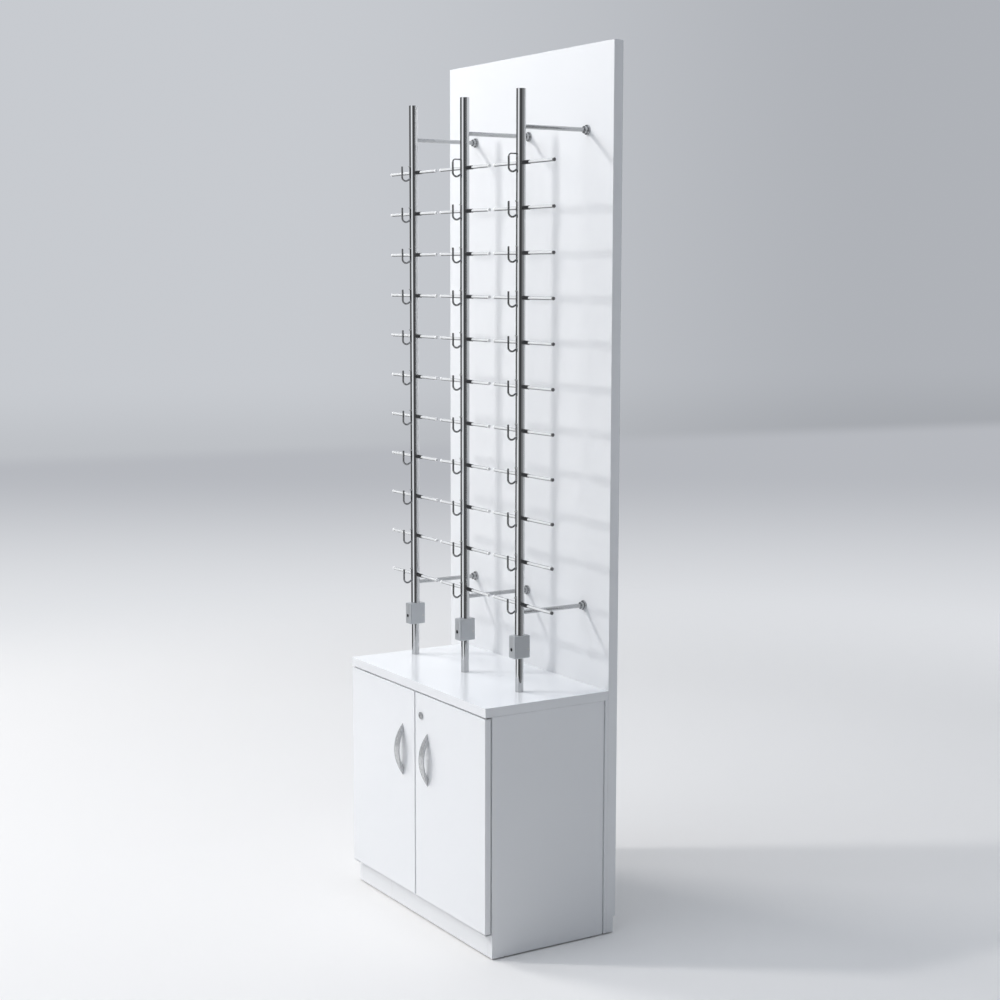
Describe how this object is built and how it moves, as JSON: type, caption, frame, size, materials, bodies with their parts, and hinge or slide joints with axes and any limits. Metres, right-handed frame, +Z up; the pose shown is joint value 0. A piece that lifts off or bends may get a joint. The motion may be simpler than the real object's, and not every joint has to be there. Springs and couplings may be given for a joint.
{
  "type": "eyewear display stand",
  "caption": "Free-standing cabinet with two doors and a tall back panel, carrying locking chrome columns with J-shaped hooks and clear arms that display eyewear.",
  "frame": {"origin": "bottom centre of the whole stand, on the floor", "axes": "+Z up, -Y the side with the doors and hooks, +X to the right seen from the front"},
  "size_m": [0.758, 0.377, 2.063],
  "materials": {
    "white_laminate": "white laminated board, smooth satin",
    "chrome": "polished chrome plate",
    "clear_acrylic": "clear polished acrylic",
    "grey_lock_box": "satin grey paint",
    "steel": "plain steel",
    "white_steel": "white painted steel",
    "black_plastic": "matte black",
    "white_plastic": "matte white"
  },
  "bodies": {
    "stand": {"left_side_panel": "white_laminate", "right_side_panel": "white_laminate", "bottom_panel": "white_laminate", "plinth_board": "white_laminate", "cabinet_back_board": "white_laminate", "worktop": "white_laminate", "shelf": "white_laminate", "shelf_pins": "steel", "levelling_glides": "white_plastic", "tall_back_panel": "white_laminate", "panel_screws": "steel", "hinge_plates": "white_steel", "hinge_pins": "steel", "catch_magnets": "white_plastic", "lock_strike": "steel", "post_bolts": "steel", "column_caps": "chrome", "arm_collars": "black_plastic", "lock_box_covers": "grey_lock_box", "lock_box_screws": "steel", "standoff_rods": "chrome", "standoff_flanges": "chrome", "standoff_nuts": "chrome", "left_post": "chrome", "left_tube": "chrome", "left_hooks": "chrome", "left_arms": "clear_acrylic", "left_lock_box": "grey_lock_box", "middle_post": "chrome", "middle_tube": "chrome", "middle_hooks": "chrome", "middle_arms": "clear_acrylic", "middle_lock_box": "grey_lock_box", "right_post": "chrome", "right_tube": "chrome", "right_hooks": "chrome", "right_arms": "clear_acrylic", "right_lock_box": "grey_lock_box"},
    "left_door_body": {"left_door": "white_laminate", "left_hinge_bushes": "white_plastic", "left_door_handle": "chrome", "left_handle_screws": "steel", "left_catch_plate": "steel"},
    "right_door_body": {"right_door": "white_laminate", "right_hinge_bushes": "white_plastic", "right_door_handle": "chrome", "right_handle_screws": "steel", "right_catch_plate": "steel", "door_lock_housing": "chrome"},
    "door_lock_cam_body": {"door_lock_plug": "steel", "door_lock_cam": "steel"},
    "left_bar_body": {"left_locking_bar": "steel"},
    "left_pins_body": {"left_closing_pins": "steel"},
    "left_barrel_body": {"left_key_barrel": "steel"},
    "middle_bar_body": {"middle_locking_bar": "steel"},
    "middle_pins_body": {"middle_closing_pins": "steel"},
    "middle_barrel_body": {"middle_key_barrel": "steel"},
    "right_bar_body": {"right_locking_bar": "steel"},
    "right_pins_body": {"right_closing_pins": "steel"},
    "right_barrel_body": {"right_key_barrel": "steel"}
  },
  "joints": [
    {"name": "left_door_hinge", "type": "hinge", "parent": "stand", "child": "left_door_body", "pos_m": [-0.2925, -0.1635, 0.062], "axis": [0, 0, -1], "range_deg": [0, 110]},
    {"name": "right_door_hinge", "type": "hinge", "parent": "stand", "child": "right_door_body", "pos_m": [0.3385, -0.1635, 0.062], "axis": [0, 0, 1], "range_deg": [0, 110]},
    {"name": "door_lock_turn", "type": "hinge", "parent": "right_door_body", "child": "door_lock_cam_body", "pos_m": [0.0545, -0.174, 0.5095], "axis": [0, -1, 0], "range_deg": [0, 90]},
    {"name": "left_bar_lift", "type": "slide", "parent": "stand", "child": "left_bar_body", "axis": [0, 0, 1], "range_m": [0, 0.01]},
    {"name": "left_pins_slide", "type": "slide", "parent": "stand", "child": "left_pins_body", "axis": [0, -1, 0], "range_m": [0, 0.01307]},
    {"name": "left_key_turn", "type": "hinge", "parent": "stand", "child": "left_barrel_body", "pos_m": [-0.249, -0.038, 0.687], "axis": [0, -1, 0], "range_deg": [0, 90]},
    {"name": "middle_bar_lift", "type": "slide", "parent": "stand", "child": "middle_bar_body", "axis": [0, 0, 1], "range_m": [0, 0.01]},
    {"name": "middle_pins_slide", "type": "slide", "parent": "stand", "child": "middle_pins_body", "axis": [0, -1, 0], "range_m": [0, 0.01307]},
    {"name": "middle_key_turn", "type": "hinge", "parent": "stand", "child": "middle_barrel_body", "pos_m": [-0.003, -0.038, 0.687], "axis": [0, -1, 0], "range_deg": [0, 90]},
    {"name": "right_bar_lift", "type": "slide", "parent": "stand", "child": "right_bar_body", "axis": [0, 0, 1], "range_m": [0, 0.01]},
    {"name": "right_pins_slide", "type": "slide", "parent": "stand", "child": "right_pins_body", "axis": [0, -1, 0], "range_m": [0, 0.01307]},
    {"name": "right_key_turn", "type": "hinge", "parent": "stand", "child": "right_barrel_body", "pos_m": [0.243, -0.038, 0.687], "axis": [0, -1, 0], "range_deg": [0, 90]}
  ],
  "couplings": [
    {"joint": "left_pins_slide", "follows": "left_bar_lift", "ratio": 1.3068},
    {"joint": "left_key_turn", "follows": "left_bar_lift", "rad_per_m": 157.08},
    {"joint": "middle_pins_slide", "follows": "middle_bar_lift", "ratio": 1.3068},
    {"joint": "middle_key_turn", "follows": "middle_bar_lift", "rad_per_m": 157.08},
    {"joint": "right_pins_slide", "follows": "right_bar_lift", "ratio": 1.3068},
    {"joint": "right_key_turn", "follows": "right_bar_lift", "rad_per_m": 157.08}
  ]
}
